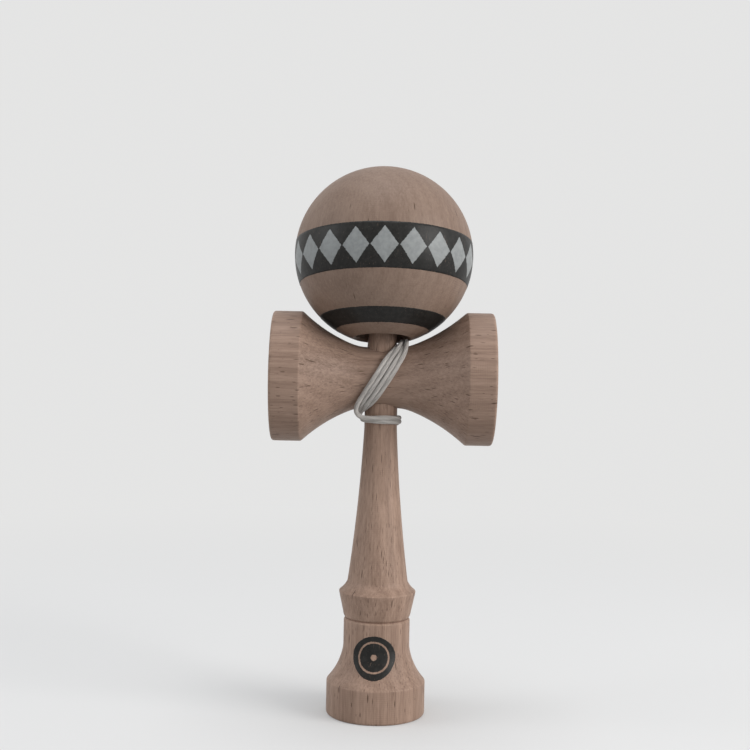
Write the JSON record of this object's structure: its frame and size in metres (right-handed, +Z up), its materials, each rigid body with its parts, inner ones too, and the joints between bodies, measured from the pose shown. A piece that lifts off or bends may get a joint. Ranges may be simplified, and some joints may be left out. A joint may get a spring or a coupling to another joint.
{
  "type": "cup and ball toy",
  "caption": "Pocket-size wooden cup and ball toy: a turned sword with spike and base cup, a cross cup, and a banded ball on a wound string.",
  "frame": {"origin": "centre of the base cup's rim, on the surface that the toy stands on", "axes": "+Z up the sword to its spike, +X along the cross cup to the big cup, -Y to the front with the round print"},
  "size_m": [0.0444, 0.0371, 0.1115],
  "materials": {
    "beech_sword": "satin",
    "beech_cross_cup": "satin",
    "beech_ball": "satin",
    "ink": "matt print",
    "string": "loosely spun"
  },
  "bodies": {
    "handle": {"sword": "beech_sword", "cross_cup": "beech_cross_cup", "sword_knot": "string", "string_winding": "string", "base_roundel": "ink"},
    "string_end": {"bead": "beech_ball", "ball_knot": "string", "string_riser": "string"},
    "ball": {"ball": "beech_ball", "wide_band": "ink", "narrow_band": "ink"}
  },
  "joints": [
    {"name": "ball_lift", "type": "slide", "parent": "handle", "child": "string_end", "axis": [0, 0, 1], "range_m": [0, 0.025], "deforming": ["string_riser"]},
    {"name": "ball_spin", "type": "hinge", "parent": "string_end", "child": "ball", "pos_m": [0, 0.00125, 0.09284], "axis": [0, 0.1736, 0.9848], "continuous": true}
  ]
}
